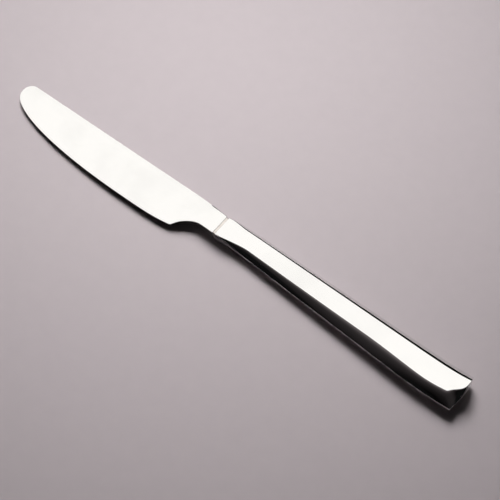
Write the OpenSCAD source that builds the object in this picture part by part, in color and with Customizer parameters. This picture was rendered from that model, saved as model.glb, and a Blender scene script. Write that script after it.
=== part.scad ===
// Table knife with a hollow handle, lying on the table on one face of its handle.
// X runs from the tip to the butt, Y from the cutting edge to the back, Z up from the table.
// The knife is drawn about its own middle plane, with x = 0 at the mouth of the handle.

/* [Blade] */
// Length of the blade from its tip to the neck collar
blade_len = 112.2; // [95:0.1:125]
// Greatest width of the blade, back to cutting edge
blade_width = 19.6; // [17:0.1:23]
// Height of the back of the blade above the knife's long axis
back_offset = 7.7; // [7:0.05:8.6]
// Distance from the handle's mouth to the deepest point of the cutting edge
belly_dist = 44.7; // [36:0.1:52]
// Drop of the tip below the line of the back
tip_drop = 4.7; // [3:0.1:6]
// Length over which the back rounds down to the tip
tip_run = 4.1; // [3:0.1:6]
// Fullness of the cutting edge's curve, 2 for an ellipse
edge_fullness = 2.2; // [2:0.05:2.6]
// Thickness of the back at the tip
tip_thick = 1.1; // [0.9:0.05:1.4]
// Thickness of the back at the heel
heel_thick = 2.5; // [2:0.05:2.9]
// Thickness left along the cutting edge
edge_thick = 0.5; // [0.3:0.05:0.7]

/* [Heel and neck] */
// Distance from the handle's mouth to the heel of the blade
heel_dist = 18.5; // [16:0.1:22]
// Rise of the cutting edge between its deepest point and the heel's corner
heel_rise = 1.6; // [0.8:0.1:2.4]
// How late the cutting edge rises towards the heel, as a power
rise_power = 3.4; // [2:0.1:4.5]
// Length of the hollow curve from the heel's corner to the neck
scoop_len = 10.6; // [8:0.1:12]
// Depth of the neck's waist inside the line of the bolster, on the edge side
waist_depth = 0.2; // [0.1:0.05:0.7]
// Step from the handle's mouth down to the bolster, all round
bolster_step = 0.1; // [0.05:0.05:0.3]
// Length of the collar between bolster and handle
collar_len = 1.2; // [0.8:0.1:1.8]
// Depth of the collar below the handle's mouth, all round
collar_step = 0.4; // [0.35:0.05:0.7]

/* [Handle outline] */
// Length of the handle from its mouth to the middle of the butt
handle_len = 122.6; // [105:0.1:135]
// Height of the handle's back above the long axis where its straight line meets the mouth
mouth_back = 7.85; // [7.4:0.05:8.3]
// Height of the handle's back above the long axis where its straight line meets the butt
butt_back = 8.15; // [7.6:0.05:9]
// Pinch of the back at the mouth
back_pinch = 1.2; // [0.6:0.05:1.6]
// Length of the pinch at the mouth
pinch_len = 12.5; // [9:0.5:17]
// Flare of the back at the butt
back_flare = 0.35; // [0:0.05:0.7]
// Length of the back's flare at the butt
back_flare_len = 28; // [18:1:36]
// Depth of the handle's edge side below the long axis where its straight line meets the mouth
mouth_front = 2.8; // [2.3:0.05:3.3]
// Depth of the handle's edge side below the long axis where its straight line meets the butt
butt_front = 9.75; // [8.5:0.05:11]
// Flare of the edge side at the mouth
mouth_flare = 0.8; // [0.4:0.05:1.2]
// Length of the flare at the mouth
flare_len = 10; // [7:0.5:13]
// Turn in of the edge side at the butt
butt_turn = 1.85; // [0.8:0.05:2.4]
// Length of the turn in at the butt
turn_len = 26.5; // [18:0.5:32]
// Bulge of the butt's end edge
butt_bulge = 0.8; // [0.2:0.05:1.2]

/* [Handle shells] */
// Thickness of the whole handle at the mouth
mouth_thick = 5.4; // [5.1:0.1:6]
// Thickness of the whole handle at the butt, before it rounds off
butt_thick = 8.2; // [7.6:0.1:9.6]
// Share of the half width that is bevelled on the edge side of the mouth and the neck
mouth_share = 0.02; // [0.01:0.01:0.05]
// Share of the half width that is bevelled on the back of the mouth and the neck
back_mouth_share = 0.1; // [0.06:0.01:0.16]
// Share of the half width that is bevelled along the edge side, behind the mouth
flank_share = 0.42; // [0.34:0.01:0.48]
// Growth of the edge side's share from the mouth to the butt
flank_grow = 0.37; // [0.25:0.01:0.42]
// Loss of the edge side's share towards the butt
butt_less = 0.295; // [0.2:0.005:0.34]
// Gain of the edge side's share at the butt's corner
corner_more = 0.25; // [0.15:0.01:0.3]
// Share of the half width that is bevelled along the back, behind the mouth
back_share = 0.38; // [0.3:0.01:0.44]
// Growth of the back's share from the mouth to the butt
back_grow = 0.22; // [0.15:0.01:0.26]
// Loss of the back's share towards the butt's corner
back_less = 0.12; // [0.05:0.01:0.2]
// Length over which the edge side's bevel opens out behind the mouth
mouth_blend = 17; // [13:0.5:22]
// Length over which the back's bevel opens out behind the mouth
back_blend = 10; // [7:0.5:14]
// Length over which the edge side's bevel narrows towards the butt
butt_blend = 46; // [36:1:52]
// Length over which the edge side's bevel widens again at the butt's corner
more_blend = 18.5; // [14:0.5:22]
// Length over which the back's bevel narrows towards the butt
corner_blend = 12; // [9:0.5:15]
// Softness of the bevel's upper bend at the mouth
mouth_bend = 0.3; // [0.2:0.05:0.45]
// Softness of the bevel's upper bend at the butt
butt_bend = 0.8; // [0.6:0.05:0.95]
// Softness of the upper bend where the butt's end rounds down
end_bend = 0.7; // [0.5:0.05:0.9]
// Steepest slope of the edge side's bevel and of the butt's end
edge_slope = 1.2; // [1:0.05:1.4]
// Steepest slope of the back's bevel
back_slope = 0.8; // [0.65:0.05:0.95]
// Least height of the shells' upright rims
rim_low = 0.15; // [0.1:0.01:0.25]
// Least height of the upright rim round the butt's end
end_rim = 0.7; // [0.5:0.05:0.9]
// Length over which the butt rounds down, in the middle of its width
end_run = 1.8; // [1.5:0.1:2.2]
// Greatest length over which the butt rounds down, towards the edge side
end_most = 6.5; // [5.5:0.1:7.5]
// How fast that length shrinks from the edge side to the back
end_fall = 6.2; // [5.4:0.1:7]
// How sharply the edge side's bevel and the butt's rounding meet at the land, as a power
corner_power = 2; // [1.6:0.1:2.6]
// Growth of that power down to the seam, so that the corner gets sharper
power_grow = 8; // [5:0.5:11]
// Wall of the pressed half shells
shell_wall = 0.8; // [0.6:0.05:1]
// Thickness of the weld seam between the half shells
seam_thick = 0.6; // [0.4:0.05:0.8]
// Height of the weld seam above the half shells' rims
seam_proud = 0.06; // [0.03:0.01:0.15]

/* [Tang and filling] */
// Length of the tang inside the handle
tang_len = 46; // [35:1:60]
// Width of the tang at the collar
tang_width = 5.2; // [4:0.1:6]
// Width of the tang at its end
tang_end_width = 3.6; // [3:0.1:4]
// Thickness of the tang
tang_thick = 2.4; // [2:0.1:2.7]
// Length of the cement filling behind the end of the tang
cement_past = 12; // [6:1:18]
// Gap left between the filling and what it touches
cement_gap = 0.05; // [0.03:0.01:0.1]
// Gap between the collar and the tang
collar_gap = 0.1; // [0.05:0.05:0.2]

/* [Hidden] */
steel = "#c9ccce";
satin = "#b4b7ba";
weld = "#9a9da0";
putty = "#b9a98c";
bolster_x = -collar_len;
tip_x = bolster_x - blade_len;
tip_y = back_offset - tip_drop;
belly_x = -belly_dist;
heel_x = -heel_dist;
edge_y = back_offset - blade_width;
seam_z = seam_thick / 2;
mouth_mid = (far_y(0) + near_y(0)) / 2;
wedge = atan((butt_thick - mouth_thick) / 2 / handle_len);
middle_x = (handle_len + tip_x) / 2;
middle_y = (max(far_y(handle_len), back_offset) + edge_y) / 2;
rim_lead = 1;
rim_run = 4;
rim_draft = 0.003;
end_draft = 0.02;
flank_cols = 9;
land_cols = 5;
land_lead = 0.3;
blade_cols = 14;
tip_zone = 34;
tip_first = 0.015;

// Rises smoothly from 0 to 1 as t goes from 0 to 1
function ease(t) = let (k = max(0, min(1, t))) k * k * (3 - 2 * k);
// Fade that starts at 1 where t is 0 and dies out, with no kink, where t is 1
function fade(t) = pow(max(0, 1 - t), 2);
// Share of a fall that is gone at s, from 0 where s is 0: a bend that straightens out to a slope no steeper
// than the limit, and that stops at the upright rim
function bevel(s, bend, run, fall, limit, rim) =
    let (reach = sqrt(1 + bend * bend))
    let (last_slope = 1 / (reach * (reach - bend)))
    let (most = min(1 - rim / fall, limit * run / (last_slope * fall)))
    most * (sqrt(s * s + bend * bend) - bend) / (reach - bend);

// Outline of the handle at its seam
function far_y(x) =
    mouth_back + (butt_back - mouth_back) * x / handle_len
    - back_pinch * fade(x / pinch_len)
    + back_flare * fade((handle_len - x) / back_flare_len);
function near_y(x) =
    -mouth_front - (butt_front - mouth_front) * x / handle_len
    - mouth_flare * fade(x / flare_len)
    + butt_turn * fade((handle_len - x) / turn_len);
function half_thick(x) = (mouth_thick + (butt_thick - mouth_thick) * x / handle_len) / 2;

// Share of the half width that the bevel takes, on the edge side and on the back
function opened(first, line, t) = first + (line - first) * ease(t);
function near_share(x) =
    opened(mouth_share, flank_share + flank_grow * x / handle_len, x / mouth_blend)
    - butt_less * ease(1 - (handle_len - x) / butt_blend)
    + corner_more * fade((handle_len - x) / more_blend);
function far_share(x) =
    opened(back_mouth_share, back_share + back_grow * x / handle_len, x / back_blend)
    - back_less * fade((handle_len - x) / corner_blend);
function share(x, v) = v < 0 ? near_share(x) : far_share(x);
function slope_limit(v) = v < 0 ? edge_slope : back_slope;
// Length over which the butt rounds down: long on the edge side, almost square at the back
function end_length(v) = end_most / (1 + (end_most / end_run - 1) * exp(end_fall * v));

// Places along the handle, closer together at the mouth and at the butt
end_zone = max(end_length(-1), more_blend);
stations = concat(
    [for (k = [0:10]) mouth_blend * k / 10],
    [for (k = [1:13]) mouth_blend + (handle_len - end_zone - mouth_blend) * k / 13],
    [for (k = [1:15]) handle_len - end_draft - (end_zone - end_draft) * (1 - sin(6 * k))],
    [handle_len]);
// Places across one flank, from its land to its rim and the seam, as shares of the half width
function flank_places(w) = concat(
    [for (k = [0:flank_cols - 2]) 1 - w + (w - rim_draft) * sin(90 * k / (flank_cols - 2))],
    [1]);
// Places on the flat land, kept near the edge side's flank until they spread out towards the butt
function land_places(x) =
    let (first = near_share(x) - 1, last = 1 - far_share(x))
    let (spread = land_lead + (1 - land_lead) * ease(1 - (handle_len - x) / more_blend))
    [for (k = [1:land_cols]) first + (last - first) * spread * k / (land_cols + 1)];
// Places across the handle: a flat land and two bevelled flanks
function across(x) =
    let (near = flank_places(near_share(x)))
    concat([for (k = [flank_cols - 1:-1:0]) -near[k]], land_places(x), flank_places(far_share(x)));

// One point of the handle's upper face, or of a face that lies inset below it; the rims stand on the seam
function dome(x, v, inset) =
    let (u = x / handle_len)
    let (px = u * (handle_len - inset) - butt_bulge * v * v * u)
    let (mid = (far_y(px) + near_y(px)) / 2)
    let (half = (far_y(px) - near_y(px)) / 2 - inset)
    let (w = share(x, v))
    let (s = max(0, (abs(v) - 1 + w) / w))
    let (e = max(0, 1 - (handle_len - x) / end_length(v)))
    let (full = half_thick(px) - inset - seam_z)
    let (bend = mouth_bend + (butt_bend - mouth_bend) * u)
    let (side = bevel(s, bend, w * half, full, slope_limit(v), rim_low))
    let (end = bevel(e, end_bend, end_length(v), full, edge_slope, end_rim))
    let (power = corner_power + power_grow * pow(max(side, end), 2))
    let (gone = pow(pow(side, power) + pow(end, power), 1 / power))
    let (rise = max(full * (1 - gone), rim_low))
    [px, mid + half * v, seam_z + (abs(v) >= 1 || x >= handle_len ? 0 : rise)];
function dome_rows(inset) = [for (x = stations) [for (v = across(x)) dome(x, v, inset)]];

// Closed cross-section of the whole handle at x, inset all round
function handle_ring(x, inset) =
    let (top = [for (v = across(x)) dome(x, v, inset)])
    concat(top, [for (k = [len(top) - 1:-1:0]) [top[k].x, top[k].y, -top[k].z]]);

// Outline of the blade: cutting edge, hollow curve and bolster on one side, the back on the other
function belly_y(x) =
    let (t = max(0, (belly_x - x) / (belly_x - tip_x)))
    tip_y - (tip_y - edge_y) * pow(1 - pow(t, edge_fullness), 1 / edge_fullness);
function heel_lift(x) = heel_rise * pow(max(0, min(1, (x - belly_x) / (heel_x - belly_x))), rise_power);
function waist_y(x) =
    let (scoop_end = heel_x + scoop_len)
    near_y(0) + bolster_step + waist_depth * (1 - ease((x - scoop_end) / (bolster_x - scoop_end)));
function front_y(x) =
    let (left = x < heel_x ? 1 : fade((x - heel_x) / scoop_len))
    waist_y(x) + (belly_y(x) + heel_lift(x) - waist_y(x)) * left;
function back_y(x) =
    let (t = max(0, 1 - (x - tip_x) / tip_run))
    let (dip = pow(max(0, min(1, (x - heel_x) / (bolster_x - heel_x))), 2))
    tip_y + tip_drop * sqrt(1 - t * t) - (back_offset - far_y(0) + bolster_step) * dip;

// Half the thickness of the blade at x, from the edge (v = -1) to the back (v = 1)
function swell(x) = ease((x - heel_x) / (bolster_x - heel_x));
function ground_half(x, v) =
    let (t = (x - tip_x) / (heel_x - tip_x))
    let (back = tip_thick + (heel_thick - tip_thick) * min(1, t))
    (edge_thick + (back - edge_thick) * (v + 1) / 2) / 2;
function neck_half(x, v) =
    let (top = heel_thick / 2 + (mouth_thick / 2 - bolster_step - heel_thick / 2) * swell(x))
    let (w = share(0, v))
    let (s = max(0, (abs(v) - 1 + w) / w))
    let (run = w * (back_y(x) - front_y(x)) / 2)
    let (gone = bevel(s, mouth_bend, run, top - seam_z, slope_limit(v), rim_low))
    let (rise = (top - seam_z) * (1 - gone))
    seam_z + (abs(v) >= 1 ? 0 : rise);
function blade_half(x, v) =
    let (rim = ease((x - heel_x + rim_lead) / rim_run))
    let (w = rim + (swell(x) - rim) * (v + 1) / 2)
    ground_half(x, v) * (1 - w) + neck_half(x, v) * w;
function blade_point(x, v, side) =
    [x, (front_y(x) + back_y(x)) / 2 + (back_y(x) - front_y(x)) / 2 * v, side * blade_half(x, v)];
function blade_ring(x) = concat(
    [for (v = blade_spread) blade_point(x, v, 1)],
    [for (k = [len(blade_spread) - 1:-1:0]) blade_point(x, blade_spread[k], -1)]);
blade_spread = concat(
    [-1, rim_draft - 1],
    [for (k = [0:blade_cols]) (1 - mouth_share) * sin(180 * k / blade_cols - 90)],
    [1 - rim_draft, 1]);
// Rectangular ring of the tang at x, with one point for each place in spread and a gap all round
function tang_ring(x, spread, gap) =
    let (t = max(0, min(1, x / tang_len)))
    let (half = (tang_width + (tang_end_width - tang_width) * t) / 2 + gap)
    let (side = [for (v = spread) [x, mouth_mid + half * v, tang_thick / 2 + gap]])
    concat(side, [for (k = [len(side) - 1:-1:0]) [x, side[k].y, -side[k].z]]);
blade_stations = concat(
    [tip_x + tip_first],
    [for (k = [2:12]) tip_x + tip_zone * (1 - cos(90 * k / 12))],
    [for (k = [1:9]) tip_x + tip_zone + (heel_x - rim_lead - tip_x - tip_zone) * k / 9],
    [for (k = [1:3]) heel_x + rim_lead * (k / 3 - 1)],
    [for (k = [1:16]) heel_x + (bolster_x - heel_x) * k / 16]);

// Triangles between each ring of n points and the next, for rings first to last
function walls(first, last, n) =
    [for (i = [first:last - 1]) for (j = [0:n - 1])
        let (a = i * n + j, b = i * n + (j + 1) % n)
        each [[a, b, b + n], [a, b + n, a + n]]];
function turned(faces) = [for (f = faces) [f[2], f[1], f[0]]];
// Triangles that close ring number i, whose two halves mirror each other
function cap(i, n) =
    [for (j = [0:n / 2 - 2])
        let (a = i * n + j, b = a + 1, c = i * n + n - 1 - j, d = c - 1)
        each [[a, b, d], [a, d, c]]];

// Solid skin drawn over a row of closed rings that all have as many points
module loft(rings) {
    n = len(rings[0]);
    last = len(rings) - 1;
    polyhedron(
        [for (ring = rings) each ring],
        concat(walls(0, last, n), turned(cap(0, n)), cap(last, n)));
}

// Solid skin over rings, with a blind hole drawn over other rings from its first end
module sleeve(rings, hole) {
    n = len(rings[0]);
    last = len(rings) - 1;
    deep = last + len(hole);
    mouth = [for (j = [0:n - 1])
        let (a = j, b = (j + 1) % n, c = (last + 1) * n + j, d = (last + 1) * n + (j + 1) % n)
        each [[a, d, b], [a, c, d]]];
    polyhedron(
        [for (ring = concat(rings, hole)) each ring],
        concat(walls(0, last, n), cap(last, n), mouth,
            turned(walls(last + 1, deep, n)), turned(cap(deep, n))));
}

// Thin pressed shell between an outer and an inner face, both given as rows of points
module shell(outer, inner) {
    rows = len(outer);
    cols = len(outer[0]);
    size = rows * cols;
    edge = concat(
        [for (i = [0:rows - 2]) i * cols],
        [for (j = [0:cols - 2]) (rows - 1) * cols + j],
        [for (i = [rows - 1:-1:1]) i * cols + cols - 1],
        [for (j = [cols - 1:-1:1]) j]);
    skin = [for (i = [0:rows - 2]) for (j = [0:cols - 2])
        let (a = i * cols + j, b = a + 1, c = a + cols, d = c + 1)
        each (j < cols / 2 ? [[a, b, c], [b, d, c]] : [[a, b, d], [a, d, c]])];
    rim = [for (k = [0:len(edge) - 1])
        let (a = edge[k], b = edge[(k + 1) % len(edge)])
        each [[a, b, b + size], [a, b + size, a + size]]];
    lining = [for (f = skin) [f[2] + size, f[1] + size, f[0] + size]];
    polyhedron([for (row = concat(outer, inner)) each row], concat(skin, rim, lining));
}

// Lays the knife down on the flat land of its lower handle shell, over the middle of its box
module lie() {
    translate([-middle_x, -middle_y, mouth_thick / 2 * cos(wedge)])
        rotate([0, -wedge, 0])
            children();
}

module blade() {
    tang_rings = [for (x = [bolster_x, 0, tang_len]) tang_ring(x, blade_spread, 0)];
    color(steel) lie()
        loft(concat([for (x = blade_stations) blade_ring(x)], tang_rings));
}

module neck_collar() {
    slot = [tang_width + 2 * collar_gap, tang_thick + 2 * collar_gap];
    color(satin) lie()
        translate([bolster_x, 0, 0])
            rotate([90, 0, 90])
                linear_extrude(height = collar_len)
                    difference() {
                        polygon([for (p = handle_ring(0, collar_step)) [p.y, p.z]]);
                        translate([mouth_mid, 0])
                            square(slot, center = true);
                    }
}

module half_shell() {
    shell(dome_rows(0), dome_rows(shell_wall));
}

module handle_shell_upper() {
    color(steel) lie() half_shell();
}

module handle_shell_lower() {
    color(steel) lie() mirror([0, 0, 1]) half_shell();
}

// Outline of the seam, from the mouth along the edge side, round the butt and back along the back
function seam_line(inset) =
    let (rows = dome_rows(inset))
    let (last = len(rows) - 1, cols = len(rows[0]))
    concat(
        [for (i = [0:last - 1]) [rows[i][0].x, rows[i][0].y]],
        [for (p = rows[last]) [p.x, p.y]],
        [for (i = [last - 1:-1:0]) [rows[i][cols - 1].x, rows[i][cols - 1].y]]);

module seam_weld() {
    outer = seam_line(-seam_proud);
    inner = seam_line(shell_wall);
    color(weld) lie()
        linear_extrude(height = seam_thick, center = true)
            polygon(concat(outer, [for (k = [len(inner) - 1:-1:0]) inner[k]]));
}

module tang_cement() {
    inset = shell_wall + cement_gap;
    end = tang_len + cement_past;
    places = concat([cement_gap], [for (x = stations) if (x > cement_gap && x < end) x], [end]);
    slot_places = [cement_gap, tang_len + cement_gap];
    color(putty) lie()
        sleeve(
            [for (x = places) handle_ring(x, inset)],
            [for (x = slot_places) tang_ring(x, across(cement_gap), cement_gap)]);
}

blade();
neck_collar();
handle_shell_upper();
handle_shell_lower();
seam_weld();
tang_cement();
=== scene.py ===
import math

import bpy
import numpy as np
from mathutils import Matrix, Vector


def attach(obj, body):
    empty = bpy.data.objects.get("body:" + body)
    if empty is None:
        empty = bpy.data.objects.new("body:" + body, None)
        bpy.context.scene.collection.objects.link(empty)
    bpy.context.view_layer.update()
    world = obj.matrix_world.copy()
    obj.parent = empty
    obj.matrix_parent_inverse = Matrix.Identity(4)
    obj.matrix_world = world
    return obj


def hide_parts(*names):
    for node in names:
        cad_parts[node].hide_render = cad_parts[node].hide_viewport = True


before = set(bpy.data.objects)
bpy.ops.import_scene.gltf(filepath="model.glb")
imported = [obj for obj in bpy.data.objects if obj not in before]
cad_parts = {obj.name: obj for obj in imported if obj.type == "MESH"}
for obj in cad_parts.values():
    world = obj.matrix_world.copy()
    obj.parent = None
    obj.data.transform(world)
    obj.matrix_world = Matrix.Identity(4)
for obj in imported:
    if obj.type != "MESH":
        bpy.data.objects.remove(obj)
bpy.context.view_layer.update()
print("stage 1: frame loaded with", len(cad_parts), "solids")

# Every shape is worked out about the knife's own middle plane: x = 0 at the mouth of the handle,
# x negative to the tip, y positive to the back, z away from the middle plane.
handle = {
    # the outline: the lines of the back and of the edge side, with what bends them at mouth and butt
    "length": 0.1226, "mouthBack": 0.00785, "buttBack": 0.00815,
    "backPinch": 0.0012, "pinchRun": 0.0125, "backFlare": 0.00035, "backFlareRun": 0.028,
    "mouthFront": 0.0028, "buttFront": 0.00975,
    "mouthFlare": 0.0008, "flareRun": 0.010, "buttTurn": 0.00185, "turnRun": 0.0265,
    "buttBulge": 0.0008, "mouthThick": 0.0054, "buttThick": 0.0082,
    # the bevels' parts of a half width, on the edge side, then on the back, and the runs of their changes
    "mouthShare": 0.02, "flankShare": 0.42, "flankGrow": 0.37, "buttLess": 0.295, "cornerMore": 0.25,
    "mouthBlend": 0.017, "buttBlend": 0.046, "moreBlend": 0.0185,
    "backMouthShare": 0.10, "backShare": 0.38, "backGrow": 0.22, "backLess": 0.12,
    "backBlend": 0.010, "cornerBlend": 0.012,
    # how soft and how steep the bevels are, and the upright rims they stop at
    "mouthBend": 0.3, "buttBend": 0.8, "endBend": 0.7, "steepest": 1.2, "backSteepest": 0.8,
    "rimLow": 0.00015, "endRim": 0.0007,
    # how the butt rounds down, and how sharply that meets the bevels
    "endRun": 0.0018, "endMost": 0.0065, "endFall": 6.2, "cornerPower": 2.0, "powerGrow": 8.0,
    "wall": 0.0008, "seamHalf": 0.0003, "lip": 0.0001,  # lip is the round of a sharp edge
}


# 0 to 1 with no kink at either end: k squared times three minus two k
def ease(t):
    k = np.clip(t, 0, 1)
    return k * k * (3 - 2 * k)


# 1 at t = 0, dying out at t = 1: the square of what is left
def fade(t):
    return np.maximum(0, 1 - t) ** 2


# the share of a fall that is gone at s, from 0 at s = 0: a hyperbola that starts level and straightens
# out, the softer the larger its bend; it gets no steeper than the limit and stops at the upright rim
def bevel(s, bend, run, fall, steepest, rim):
    reach = np.sqrt(1 + bend * bend)
    lastSlope = 1 / (reach * (reach - bend))
    most = np.minimum(1 - rim / fall, steepest * run / (lastSlope * fall))
    return most * (np.sqrt(s * s + bend * bend) - bend) / (reach - bend)


# the back of the handle: a straight line, pinched in at the mouth and flaring a little at the butt
def backLine(x):
    line = handle["mouthBack"] + (handle["buttBack"] - handle["mouthBack"]) * x / handle["length"]
    flare = handle["backFlare"] * fade((handle["length"] - x) / handle["backFlareRun"])
    return line - handle["backPinch"] * fade(x / handle["pinchRun"]) + flare


# the edge side of the handle: a straight line that flares at the mouth and turns in at the butt
def frontLine(x):
    line = -handle["mouthFront"] - (handle["buttFront"] - handle["mouthFront"]) * x / handle["length"]
    flare = handle["mouthFlare"] * fade(x / handle["flareRun"])
    return line - flare + handle["buttTurn"] * fade((handle["length"] - x) / handle["turnRun"])


# the share of the half width that the bevel takes: it opens out behind the mouth, then grows evenly; on
# the edge side it narrows towards the butt and widens again at its corner, on the back it only narrows
def flankWidth(x, v):
    along = x / handle["length"]
    near = handle["flankShare"] + handle["flankGrow"] * along
    near = handle["mouthShare"] + (near - handle["mouthShare"]) * ease(x / handle["mouthBlend"])
    near = near - handle["buttLess"] * ease(1 - (handle["length"] - x) / handle["buttBlend"])
    near = near + handle["cornerMore"] * fade((handle["length"] - x) / handle["moreBlend"])
    far = handle["backShare"] + handle["backGrow"] * along
    far = handle["backMouthShare"] + (far - handle["backMouthShare"]) * ease(x / handle["backBlend"])
    far = far - handle["backLess"] * fade((handle["length"] - x) / handle["cornerBlend"])
    return np.where(v < 0, near, far)


# length over which the butt rounds down to the seam: an S-shaped (logistic) fall from the edge side,
# where it is longest, to the back, which is almost square
def endLength(v):
    most = handle["endMost"]
    return most / (1 + (most / handle["endRun"] - 1) * np.exp(handle["endFall"] * v))


# quarter round of an edge at distance d from it: how far the surface has dropped
def edgeRound(d):
    left = np.maximum(0, handle["lip"] - d)
    return handle["lip"] - np.sqrt(np.maximum(0, handle["lip"] ** 2 - left ** 2))


# upper face of the handle over (x along, v across from -1 to 1): a flat land between two bevelled
# flanks, rounded down at the butt, most of all towards the edge side, with an upright rim on the seam;
# where flank and end meet, the two falls join as the root of a sum of powers, and the power grows
# towards the seam, so that the corner gets sharper; inset gives the face below
def dome(x, v, inset=0.0):
    along = x / handle["length"]
    px = along * (handle["length"] - inset) - handle["buttBulge"] * v * v * along
    middle = (backLine(px) + frontLine(px)) / 2
    half = (backLine(px) - frontLine(px)) / 2 - inset
    thick = handle["mouthThick"] + (handle["buttThick"] - handle["mouthThick"]) * px / handle["length"]
    width = flankWidth(x, v)
    side = np.maximum(0, (np.abs(v) - 1 + width) / width)
    end = np.maximum(0, 1 - (handle["length"] - x) / endLength(v))
    full = thick / 2 - inset - handle["seamHalf"]
    bend = handle["mouthBend"] + (handle["buttBend"] - handle["mouthBend"]) * along
    steepest = np.where(v < 0, handle["steepest"], handle["backSteepest"])
    flank = bevel(side, bend, width * half, full, steepest, handle["rimLow"])
    butt = bevel(end, handle["endBend"], endLength(v), full, handle["steepest"], handle["endRim"])
    power = handle["cornerPower"] + handle["powerGrow"] * np.maximum(flank, butt) ** 2
    gone = (flank ** power + butt ** power) ** (1 / power)
    rise = np.maximum(full * (1 - gone), handle["rimLow"])
    rise = np.where((np.abs(v) >= 1) | (x >= handle["length"]), 0, rise)
    return np.stack([px, middle + half * v, handle["seamHalf"] + rise], -1)


collar = {"length": 0.0012, "step": 0.0004, "slotGap": 0.0001}
tang = {"length": 0.046, "width": 0.0052, "endWidth": 0.0036, "thick": 0.0024}
blade = {
    "length": 0.1122, "width": 0.0196, "backOffset": 0.0077, "bellyX": -0.0447,
    "tipDrop": 0.0047, "tipRun": 0.0041, "edgeFullness": 2.2,
    "tipThick": 0.0011, "heelThick": 0.0025, "edgeThick": 0.0005,
    "heelX": -0.0185, "heelRise": 0.0016, "risePower": 3.4, "heelLead": 0.001, "rimRun": 0.004,
    "scoopRun": 0.0106, "waistDepth": 0.0002, "bolsterStep": 0.0001,
    # the grid: where it starts, how far from the tip it is close, and its rows from tip to bolster
    "tipStart": 0.000015, "tipZone": 0.034, "firstTurn": 0.06,
    "tipRows": 60, "flatRows": 70, "leadRows": 12, "neckRows": 100, "lipRows": 7,
}
bolsterX = -collar["length"]
tipX = bolsterX - blade["length"]
tipY = blade["backOffset"] - blade["tipDrop"]
edgeY = blade["backOffset"] - blade["width"]
mouthMiddle = (backLine(0) + frontLine(0)) / 2
wedge = math.atan((handle["buttThick"] - handle["mouthThick"]) / 2 / handle["length"])
middleX = (handle["length"] + tipX) / 2
middleY = (max(backLine(handle["length"]), blade["backOffset"]) + edgeY) / 2


# lays points down on the lower handle face: a turn by the wedge angle, then a shift over the box's middle
def lieDown(p):
    x, y, z = p[..., 0], p[..., 1], p[..., 2]
    c, s = math.cos(wedge), math.sin(wedge)
    lift = handle["mouthThick"] / 2 * c
    return np.stack([x * c - z * s - middleX, y - middleY, x * s + z * c + lift], -1)


creaseAngle = math.radians(32)  # faces that meet at more than this keep a sharp edge


# a grid of closed sections carried along a path; a path that doesn't close gets an end face at each end,
# drawn as strips between the two halves of the section
def sweep(name, grid, closedPath=False):
    rows, cols = grid.shape[:2]
    index = np.arange(rows * cols).reshape(rows, cols)
    turned = np.roll(index, -1, 1)
    after = np.roll(index, -1, 0), np.roll(turned, -1, 0)
    quads = np.stack([index, turned, after[1], after[0]], -1)
    quads = (quads if closedPath else quads[:-1]).reshape(-1, 4)
    if not closedPath:
        j = np.arange(cols // 2 - 1)
        strip = np.stack([j, j + 1, cols - 2 - j, cols - 1 - j], -1)
        quads = np.concatenate([quads, index[0][strip[:, ::-1]], index[-1][strip]])
    points = lieDown(grid).reshape(-1, 3)
    corner = points[quads]
    cone = np.cross(corner[:, 0], corner[:, 1]) + np.cross(corner[:, 1], corner[:, 2])
    cone += np.cross(corner[:, 2], corner[:, 3]) + np.cross(corner[:, 3], corner[:, 0])
    if (cone * corner.mean(1)).sum() < 0:  # the signed volume is below zero when the faces look inwards
        quads = quads[:, ::-1]
    mesh = bpy.data.meshes.new(name)
    mesh.from_pydata(points.tolist(), [], quads.tolist())
    mesh.polygons.foreach_set("use_smooth", np.ones(len(mesh.polygons), bool))
    mesh.set_sharp_from_angle(angle=creaseAngle)
    mesh.update()
    piece = bpy.data.objects.new(name, mesh)
    bpy.context.scene.collection.objects.link(piece)
    return piece


# places along the handle, closest together at the mouth's lip and at the butt, and places across it
handleRows = {"lip": 6, "mouth": 40, "middle": 90, "end": 60, "across": 97}
quarter = math.pi / 2
endZone = float(endLength(-1.0))
handleX = np.concatenate([
    np.linspace(0, handle["lip"], handleRows["lip"], endpoint=False),
    np.linspace(handle["lip"], handle["mouthBlend"], handleRows["mouth"], endpoint=False),
    np.linspace(handle["mouthBlend"], handle["length"] - endZone, handleRows["middle"], endpoint=False),
    handle["length"] - endZone * (1 - np.sin(np.linspace(0, quarter, handleRows["end"]))),
])
acrossV = np.sin(np.linspace(-quarter, quarter, handleRows["across"]))


# one pressed half: the outer face and the face one wall below it, joined along the seam and the mouth
def halfShell(name, side):
    outer = dome(handleX[:, None], acrossV[None, :], edgeRound(handleX)[:, None])
    inner = dome(handleX[:, None], acrossV[None, :], handle["wall"])
    return sweep(name, np.concatenate([outer, inner[:, ::-1]], 1) * np.array([1, 1, side]))


# outline of the cutting edge side: a superellipse from the tip, a rise to the heel's corner,
# then a hollow curve that runs out along the neck
def edgeLine(x):
    t = np.maximum(0, (blade["bellyX"] - x) / (blade["bellyX"] - tipX))
    power = blade["edgeFullness"]
    belly = tipY - (tipY - edgeY) * np.maximum(0, 1 - t ** power) ** (1 / power)
    lift = np.clip((x - blade["bellyX"]) / (blade["heelX"] - blade["bellyX"]), 0, 1) ** blade["risePower"]
    left = np.where(x < blade["heelX"], 1, fade((x - blade["heelX"]) / blade["scoopRun"]))
    scoopEnd = blade["heelX"] + blade["scoopRun"]
    hollow = blade["waistDepth"] * (1 - ease((x - scoopEnd) / (bolsterX - scoopEnd)))
    waist = frontLine(0) + blade["bolsterStep"] + hollow
    return waist + (belly + blade["heelRise"] * lift - waist) * left


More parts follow.
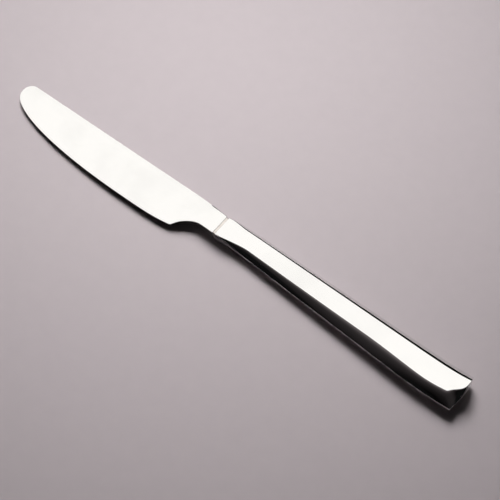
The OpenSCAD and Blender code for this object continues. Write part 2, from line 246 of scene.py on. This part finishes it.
# outline of the back: a quarter ellipse at the tip, straight, then a dip to the bolster
def spineLine(x):
    t = np.maximum(0, 1 - (x - tipX) / blade["tipRun"])
    dip = np.clip((x - blade["heelX"]) / (bolsterX - blade["heelX"]), 0, 1) ** 2
    fall = blade["backOffset"] - backLine(0) + blade["bolsterStep"]
    return tipY + blade["tipDrop"] * np.sqrt(np.maximum(0, 1 - t * t)) - fall * dip


# half the thickness: a plain wedge from back to edge, which turns into the neck's square section
def bladeHalf(x, v):
    back = blade["tipThick"] + (blade["heelThick"] - blade["tipThick"]) * np.minimum(
        1, (x - tipX) / (blade["heelX"] - tipX))
    ground = (blade["edgeThick"] + (back - blade["edgeThick"]) * (v + 1) / 2) / 2
    swell = ease((x - blade["heelX"]) / (bolsterX - blade["heelX"]))
    most = handle["mouthThick"] / 2 - blade["bolsterStep"]
    top = blade["heelThick"] / 2 + (most - blade["heelThick"] / 2) * swell
    share = flankWidth(0.0, v)
    side = np.maximum(0, (np.abs(v) - 1 + share) / share)
    run = share * (spineLine(x) - edgeLine(x)) / 2
    steepest = np.where(v < 0, handle["steepest"], handle["backSteepest"])
    full = top - handle["seamHalf"]
    rise = full * (1 - bevel(side, handle["mouthBend"], run, full, steepest, handle["rimLow"]))
    neck = handle["seamHalf"] + np.where(np.abs(v) >= 1, 0, rise)
    nearMix = ease((x - blade["heelX"] + blade["heelLead"]) / blade["rimRun"])
    mix = nearMix + (swell - nearMix) * (v + 1) / 2
    return ground * (1 - mix) + neck * mix


# rectangle of the tang at x, with a point for each place in v; gap makes it larger all round
def tangRing(x, v, gap=0.0):
    taper = np.clip(x / tang["length"], 0, 1)
    half = (tang["width"] + (tang["endWidth"] - tang["width"]) * taper) / 2 + gap
    level = tang["thick"] / 2 + gap
    upper = np.stack(np.broadcast_arrays(x, mouthMiddle + half * v, level), -1)
    lower = upper[..., ::-1, :] * np.array([1, 1, -1])
    return np.concatenate([upper, lower], -2)


# blade, bolster and tang in one: upper and lower face over (x along, v from edge to back)
def forgedBlade(name):
    tipEnd, lipX = tipX + blade["tipZone"], bolsterX - handle["lip"]
    leadX = blade["heelX"] - blade["heelLead"]
    tipTurn = np.linspace(blade["firstTurn"], quarter, blade["tipRows"], endpoint=False)
    x = np.concatenate([
        [tipX + blade["tipStart"]],
        tipX + blade["tipZone"] * (1 - np.cos(tipTurn)),
        np.linspace(tipEnd, leadX, blade["flatRows"], endpoint=False),
        np.linspace(leadX, blade["heelX"], blade["leadRows"], endpoint=False),
        np.linspace(blade["heelX"], lipX, blade["neckRows"], endpoint=False),
        np.linspace(lipX, bolsterX, blade["lipRows"]),
    ])[:, None]
    v = acrossV[None, :]
    drop = edgeRound(bolsterX - x)
    y = (edgeLine(x) + spineLine(x)) / 2 + ((spineLine(x) - edgeLine(x)) / 2 - drop) * v
    upper = np.stack(np.broadcast_arrays(x, y, bladeHalf(x, v) - drop), -1)
    lower = upper[:, ::-1] * np.array([1, 1, -1])
    tangX = np.array([bolsterX, 0, tang["length"]])[:, None]
    return sweep(name, np.concatenate([np.concatenate([upper, lower], 1), tangRing(tangX, v)]))


# the collar: a closed loop round the neck, with a four cornered section from its rim to the tang's slot
def neckCollar(name):
    top = dome(np.zeros_like(acrossV), acrossV, collar["step"])
    rim = np.concatenate([top, top[::-1] * np.array([1, 1, -1])])
    slot = tangRing(np.zeros_like(acrossV), acrossV, collar["slotGap"])
    back = np.array([bolsterX, 0, 0])
    return sweep(name, np.stack([rim, rim + back, slot + back, slot], 1), closedPath=True)


seam = {"proud": 0.00004, "beadPoints": 8}


# the weld bead: a small half round carried along the edge side, round the butt and back along the back
def weldSeam(name):
    flat = np.ones_like(handleX)
    x = np.concatenate([handleX[:-1], np.full_like(acrossV, handle["length"]), handleX[-2::-1]])
    v = np.concatenate([-flat[:-1], acrossV, flat[:-1]])
    rim, crest, root = (dome(x, v, inset) for inset in (0.0, -seam["proud"], handle["wall"]))
    turn = np.linspace(quarter, -quarter, seam["beadPoints"])[None, :, None]
    level = handle["seamHalf"]
    bead = rim[:, None, :2] + (crest - rim)[:, None, :2] * np.cos(turn)
    bead = np.concatenate([bead, np.broadcast_to(level * np.sin(turn), bead.shape[:2] + (1,))], -1)
    foot = np.stack([root, root], 1)
    foot[..., 2] = np.array([-level, level])
    return sweep(name, np.concatenate([bead, foot], 1))


print("stage 2: formulas ready")


polish = {
    "stretch": 0.02, "lineDetail": 3, "patchDetail": 4, "patchFrom": 0.45, "patchTo": 0.75,
    "lineShare": 0.3, "bumpStrength": 0.2,
}


# marks of polishing: fine lines along the knife, and soft patches where the shine is a little dull
def polishMarks():
    group = bpy.data.node_groups.new("polishMarks", "ShaderNodeTree")
    for socket, kind, value in (
        ("Bright", "NodeSocketColor", (0.8, 0.8, 0.8, 1)), ("Dull", "NodeSocketColor", (0.7, 0.7, 0.7, 1)),
        ("Shine Roughness", "NodeSocketFloat", 0.05), ("Dull Roughness", "NodeSocketFloat", 0.1),
        ("Line Density", "NodeSocketFloat", 2500.0), ("Patch Density", "NodeSocketFloat", 60.0),
    ):
        made = group.interface.new_socket(name=socket, in_out="INPUT", socket_type=kind)
        made.default_value = value
    for socket, kind in (
        ("Color", "NodeSocketColor"), ("Roughness", "NodeSocketFloat"), ("Height", "NodeSocketFloat"),
    ):
        group.interface.new_socket(name=socket, in_out="OUTPUT", socket_type=kind)
    nodes, links = group.nodes, group.links
    given, result = nodes.new("NodeGroupInput"), nodes.new("NodeGroupOutput")
    place = nodes.new("ShaderNodeTexCoord")
    stretch = nodes.new("ShaderNodeMapping")
    stretch.inputs["Scale"].default_value = (polish["stretch"], 1, 1)  # lines run lengthwise
    lines, patches = nodes.new("ShaderNodeTexNoise"), nodes.new("ShaderNodeTexNoise")
    lines.inputs["Detail"].default_value = polish["lineDetail"]
    patches.inputs["Detail"].default_value = polish["patchDetail"]
    links.new(place.outputs["Object"], stretch.inputs["Vector"])
    links.new(stretch.outputs["Vector"], lines.inputs["Vector"])
    links.new(place.outputs["Object"], patches.inputs["Vector"])
    links.new(given.outputs["Line Density"], lines.inputs["Scale"])
    links.new(given.outputs["Patch Density"], patches.inputs["Scale"])
    mask = nodes.new("ShaderNodeMapRange")
    mask.inputs["From Min"].default_value = polish["patchFrom"]
    mask.inputs["From Max"].default_value = polish["patchTo"]
    links.new(patches.outputs["Fac"], mask.inputs["Value"])
    blend = nodes.new("ShaderNodeMath")
    blend.operation = "MULTIPLY_ADD"  # the patches and a share of the lines
    blend.inputs[1].default_value = polish["lineShare"]
    links.new(lines.outputs["Fac"], blend.inputs[0])
    links.new(mask.outputs["Result"], blend.inputs[2])
    tint = nodes.new("ShaderNodeMix")
    tint.data_type = "RGBA"
    rough = nodes.new("ShaderNodeMix")
    links.new(blend.outputs["Value"], tint.inputs["Factor"])
    links.new(given.outputs["Bright"], tint.inputs["A"])
    links.new(given.outputs["Dull"], tint.inputs["B"])
    links.new(blend.outputs["Value"], rough.inputs["Factor"])
    links.new(given.outputs["Shine Roughness"], rough.inputs["A"])
    links.new(given.outputs["Dull Roughness"], rough.inputs["B"])
    links.new(tint.outputs["Result"], result.inputs["Color"])
    links.new(rough.outputs["Result"], result.inputs["Roughness"])
    links.new(lines.outputs["Fac"], result.inputs["Height"])
    return group


marks = polishMarks()


# a metal or putty whose colour, roughness and fine relief come from the marks group
def finish(name, look):
    material = bpy.data.materials.new(name)
    material.use_nodes = True
    nodes, links = material.node_tree.nodes, material.node_tree.links
    shader = nodes["Principled BSDF"]
    shader.inputs["Metallic"].default_value = look["metal"]
    use = nodes.new("ShaderNodeGroup")
    use.node_tree = marks
    shineRoughness, dullRoughness = look["roughness"]
    for socket, value in (
        ("Bright", (*look["bright"], 1)), ("Dull", (*look["dull"], 1)),
        ("Shine Roughness", shineRoughness), ("Dull Roughness", dullRoughness),
        ("Line Density", look["lines"]), ("Patch Density", look["patches"]),
    ):
        use.inputs[socket].default_value = value
    bump = nodes.new("ShaderNodeBump")
    bump.inputs["Strength"].default_value = polish["bumpStrength"]
    bump.inputs["Distance"].default_value = look["relief"]
    links.new(use.outputs["Color"], shader.inputs["Base Color"])
    links.new(use.outputs["Roughness"], shader.inputs["Roughness"])
    links.new(use.outputs["Height"], bump.inputs["Height"])
    links.new(bump.outputs["Normal"], shader.inputs["Normal"])
    return material


mirrorBlade = finish("mirrorBlade", {
    "metal": 1.0, "bright": (0.82, 0.815, 0.81), "dull": (0.77, 0.765, 0.76), "roughness": (0.05, 0.085),
    "lines": 2600.0, "patches": 55.0, "relief": 0.000002})
mirrorHandle = finish("mirrorHandle", {
    "metal": 1.0, "bright": (0.82, 0.815, 0.81), "dull": (0.77, 0.765, 0.76), "roughness": (0.05, 0.085),
    "lines": 2200.0, "patches": 45.0, "relief": 0.000002})
satinCollar = finish("satinCollar", {
    "metal": 1.0, "bright": (0.74, 0.70, 0.67), "dull": (0.64, 0.59, 0.55), "roughness": (0.22, 0.32),
    "lines": 3000.0, "patches": 300.0, "relief": 0.000006})
groundWeld = finish("groundWeld", {
    "metal": 1.0, "bright": (0.82, 0.815, 0.81), "dull": (0.72, 0.715, 0.71), "roughness": (0.25, 0.38),
    "lines": 2600.0, "patches": 240.0, "relief": 0.000008})
curedPutty = finish("curedPutty", {
    "metal": 0.0, "bright": (0.50, 0.42, 0.30), "dull": (0.40, 0.33, 0.23), "roughness": (0.75, 0.9),
    "lines": 900.0, "patches": 220.0, "relief": 0.0002})
print("stage 3: finishes ready")

for piece, node, slot, material in (
    (forgedBlade("forgedBlade"), "blade", "blade_steel", mirrorBlade),
    (neckCollar("neckCollar"), "neck_collar", "collar_steel", satinCollar),
    (halfShell("upperShell", 1), "handle_shell_upper", "handle_steel", mirrorHandle),
    (halfShell("lowerShell", -1), "handle_shell_lower", "handle_steel", mirrorHandle),
    (weldSeam("weldSeam"), "seam_weld", "seam_steel", groundWeld),
):
    piece.data.materials.append(material)
    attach(piece, "root")
    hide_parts(node)

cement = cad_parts["tang_cement"]  # hidden inside the handle, so the solid itself stays
cement.data.materials.clear()
cement.data.materials.append(curedPutty)
print("stage 4: pieces in place")

shot = {
    "azimuth": math.radians(38.51), "elevation": math.radians(59.6), "distance": 0.7056,
    "aim": (0.00971, 0.00375, 0.0), "lens": 122.4, "sensor": 36, "clip": (0.01, 60),
}
rightWay = Vector((math.cos(shot["azimuth"]), math.sin(shot["azimuth"]), 0))
awayWay = Vector((-math.sin(shot["azimuth"]), math.cos(shot["azimuth"]), 0))
upWay = Vector((0, 0, 1))
towards = upWay * math.sin(shot["elevation"]) - awayWay * math.cos(shot["elevation"])
lens = bpy.data.cameras.new("tableCamera")
lens.lens = shot["lens"]
lens.sensor_width = shot["sensor"]
lens.clip_start, lens.clip_end = shot["clip"]
camera = bpy.data.objects.new("tableCamera", lens)
camera.location = Vector(shot["aim"]) + towards * shot["distance"]
camera.rotation_mode = "QUATERNION"
camera.rotation_quaternion = (-towards).to_track_quat("-Z", "Y")
bpy.context.scene.collection.objects.link(camera)
bpy.context.scene.camera = camera

# the light: one lamp behind the knife lights the table, and warm white screens over and behind it are
# what the steel mirrors; foot and head are (away from the camera, up)
screens = {
    "keyLamp": {"width": 0.415, "shift": -0.007, "foot": (0.533, 0.270), "head": (0.2985, 0.492),
                "radiance": 1.96, "spread": 55, "colour": (1.0, 1.0, 1.0), "mirrored": False},
    "overScreen": {"width": 1.4, "shift": 0.1, "foot": (0.38, 0.38), "head": (0.0, 0.38),
                   "radiance": 1.22, "spread": 180, "colour": (1.0, 0.985, 0.955), "mirrored": True},
    "backScreen": {"width": 2.2, "shift": 0.2, "foot": (0.50, 0.20), "head": (0.38, 0.38),
                   "radiance": 1.22, "spread": 180, "colour": (1.0, 0.985, 0.955), "mirrored": True},
}


# an area light that leans from its foot to its head; the lamp lights the table and isn't mirrored, the
# screens are mirrored and don't light the table
def leaningScreen(name, size):
    foot = awayWay * size["foot"][0] + upWay * size["foot"][1]
    head = awayWay * size["head"][0] + upWay * size["head"][1]
    slope = head - foot
    light = bpy.data.lights.new(name, "AREA")
    light.shape = "RECTANGLE"
    light.size, light.size_y = size["width"], slope.length
    light.spread = math.radians(size["spread"])
    light.color = size["colour"]
    light.energy = size["radiance"] * math.pi * size["width"] * slope.length
    lamp = bpy.data.objects.new(name, light)
    across, along = -rightWay, slope.normalized()
    turn = Matrix((across, along, across.cross(along))).transposed()
    middle = (foot + head) / 2 + rightWay * size["shift"]
    lamp.matrix_world = Matrix.Translation(middle) @ turn.to_4x4()
    lamp.visible_camera = False
    lamp.visible_glossy, lamp.visible_diffuse = size["mirrored"], not size["mirrored"]
    bpy.context.scene.collection.objects.link(lamp)


for name, size in screens.items():
    leaningScreen(name, size)


# one four cornered face that only the picture needs
def plainFace(name, corners, material):
    mesh = bpy.data.meshes.new(name)
    mesh.from_pydata(corners, [], [(0, 1, 2, 3)])
    mesh.materials.append(material)
    face = bpy.data.objects.new(name, mesh)
    bpy.context.scene.collection.objects.link(face)
    return face


# a dim card from the near edge of the screen towards the camera, which dies out along its length;
# glow lists (place from its near end, brightness)
card = {
    "start": -0.001, "near": -0.9, "up": 0.38, "half": 0.8, "tint": (1.0, 0.87, 0.89),
    "glow": ((0.0, 0.0), (0.167, 0.004), (0.444, 0.011), (0.6, 0.021),
             (0.722, 0.03), (0.822, 0.056), (0.911, 0.125), (1.0, 0.19)),
}


def dyingGlow():
    glow = bpy.data.materials.new("dyingGlow")
    glow.use_nodes = True
    nodes, links = glow.node_tree.nodes, glow.node_tree.links
    nodes.remove(nodes["Principled BSDF"])
    spot, reach = nodes.new("ShaderNodeTexCoord"), nodes.new("ShaderNodeVectorMath")
    left, ramp = nodes.new("ShaderNodeMapRange"), nodes.new("ShaderNodeValToRGB")
    emit = nodes.new("ShaderNodeEmission")
    reach.operation = "DOT_PRODUCT"
    reach.inputs[1].default_value = awayWay
    left.inputs["From Min"].default_value, left.inputs["From Max"].default_value = card["near"], 0
    stops = ramp.color_ramp.elements  # it has its first and last stop from the start
    for place, _ in card["glow"][1:-1]:
        stops.new(place)
    for stop, (_, level) in zip(stops, card["glow"]):
        stop.color = (*(level * tint for tint in card["tint"]), 1)
    links.new(spot.outputs["Object"], reach.inputs[0])
    links.new(reach.outputs["Value"], left.inputs["Value"])
    links.new(left.outputs["Result"], ramp.inputs["Fac"])
    links.new(ramp.outputs["Color"], emit.inputs["Color"])
    links.new(emit.outputs["Emission"], nodes["Material Output"].inputs["Surface"])
    return glow


dimCard = plainFace("dimCard", [
    (awayWay * a + rightWay * r + upWay * card["up"])[:] for a, r in (
        (card["start"], -card["half"]), (card["start"], card["half"]),
        (card["near"], card["half"]), (card["near"], -card["half"]))
], dyingGlow())
dimCard.visible_camera = dimCard.visible_diffuse = dimCard.visible_shadow = False

roomGlow = 0.005  # what little light comes from all round
room = bpy.data.worlds.new("dimRoom")
room.use_nodes = True
room.node_tree.nodes["Background"].inputs["Color"].default_value = (roomGlow, roomGlow, roomGlow, 1)
bpy.context.scene.world = room

# a plain pale table top with a faint mottle
top = {
    "half": 4.0, "pale": (0.505, 0.447, 0.462), "deep": (0.475, 0.42, 0.436), "mottle": 160.0,
    "detail": 5, "roughness": 0.8, "specular": 0.2,
}


def paleTable():
    paint = bpy.data.materials.new("paleTable")
    paint.use_nodes = True
    nodes, links = paint.node_tree.nodes, paint.node_tree.links
    shader, spot = nodes["Principled BSDF"], nodes.new("ShaderNodeTexCoord")
    mottle, shade = nodes.new("ShaderNodeTexNoise"), nodes.new("ShaderNodeMix")
    mottle.inputs["Scale"].default_value = top["mottle"]
    mottle.inputs["Detail"].default_value = top["detail"]
    shade.data_type = "RGBA"
    shade.inputs["A"].default_value, shade.inputs["B"].default_value = (*top["pale"], 1), (*top["deep"], 1)
    links.new(spot.outputs["Object"], mottle.inputs["Vector"])
    links.new(mottle.outputs["Fac"], shade.inputs["Factor"])
    links.new(shade.outputs["Result"], shader.inputs["Base Color"])
    shader.inputs["Roughness"].default_value = top["roughness"]
    shader.inputs["Specular IOR Level"].default_value = top["specular"]
    return paint


table = plainFace("tableTop", [
    (top["half"] * a, top["half"] * b, 0) for a, b in ((-1, -1), (1, -1), (1, 1), (-1, 1))
], paleTable())
bpy.context.scene.view_settings.view_transform = "Standard"
print("stage 5: table, light and camera ready")
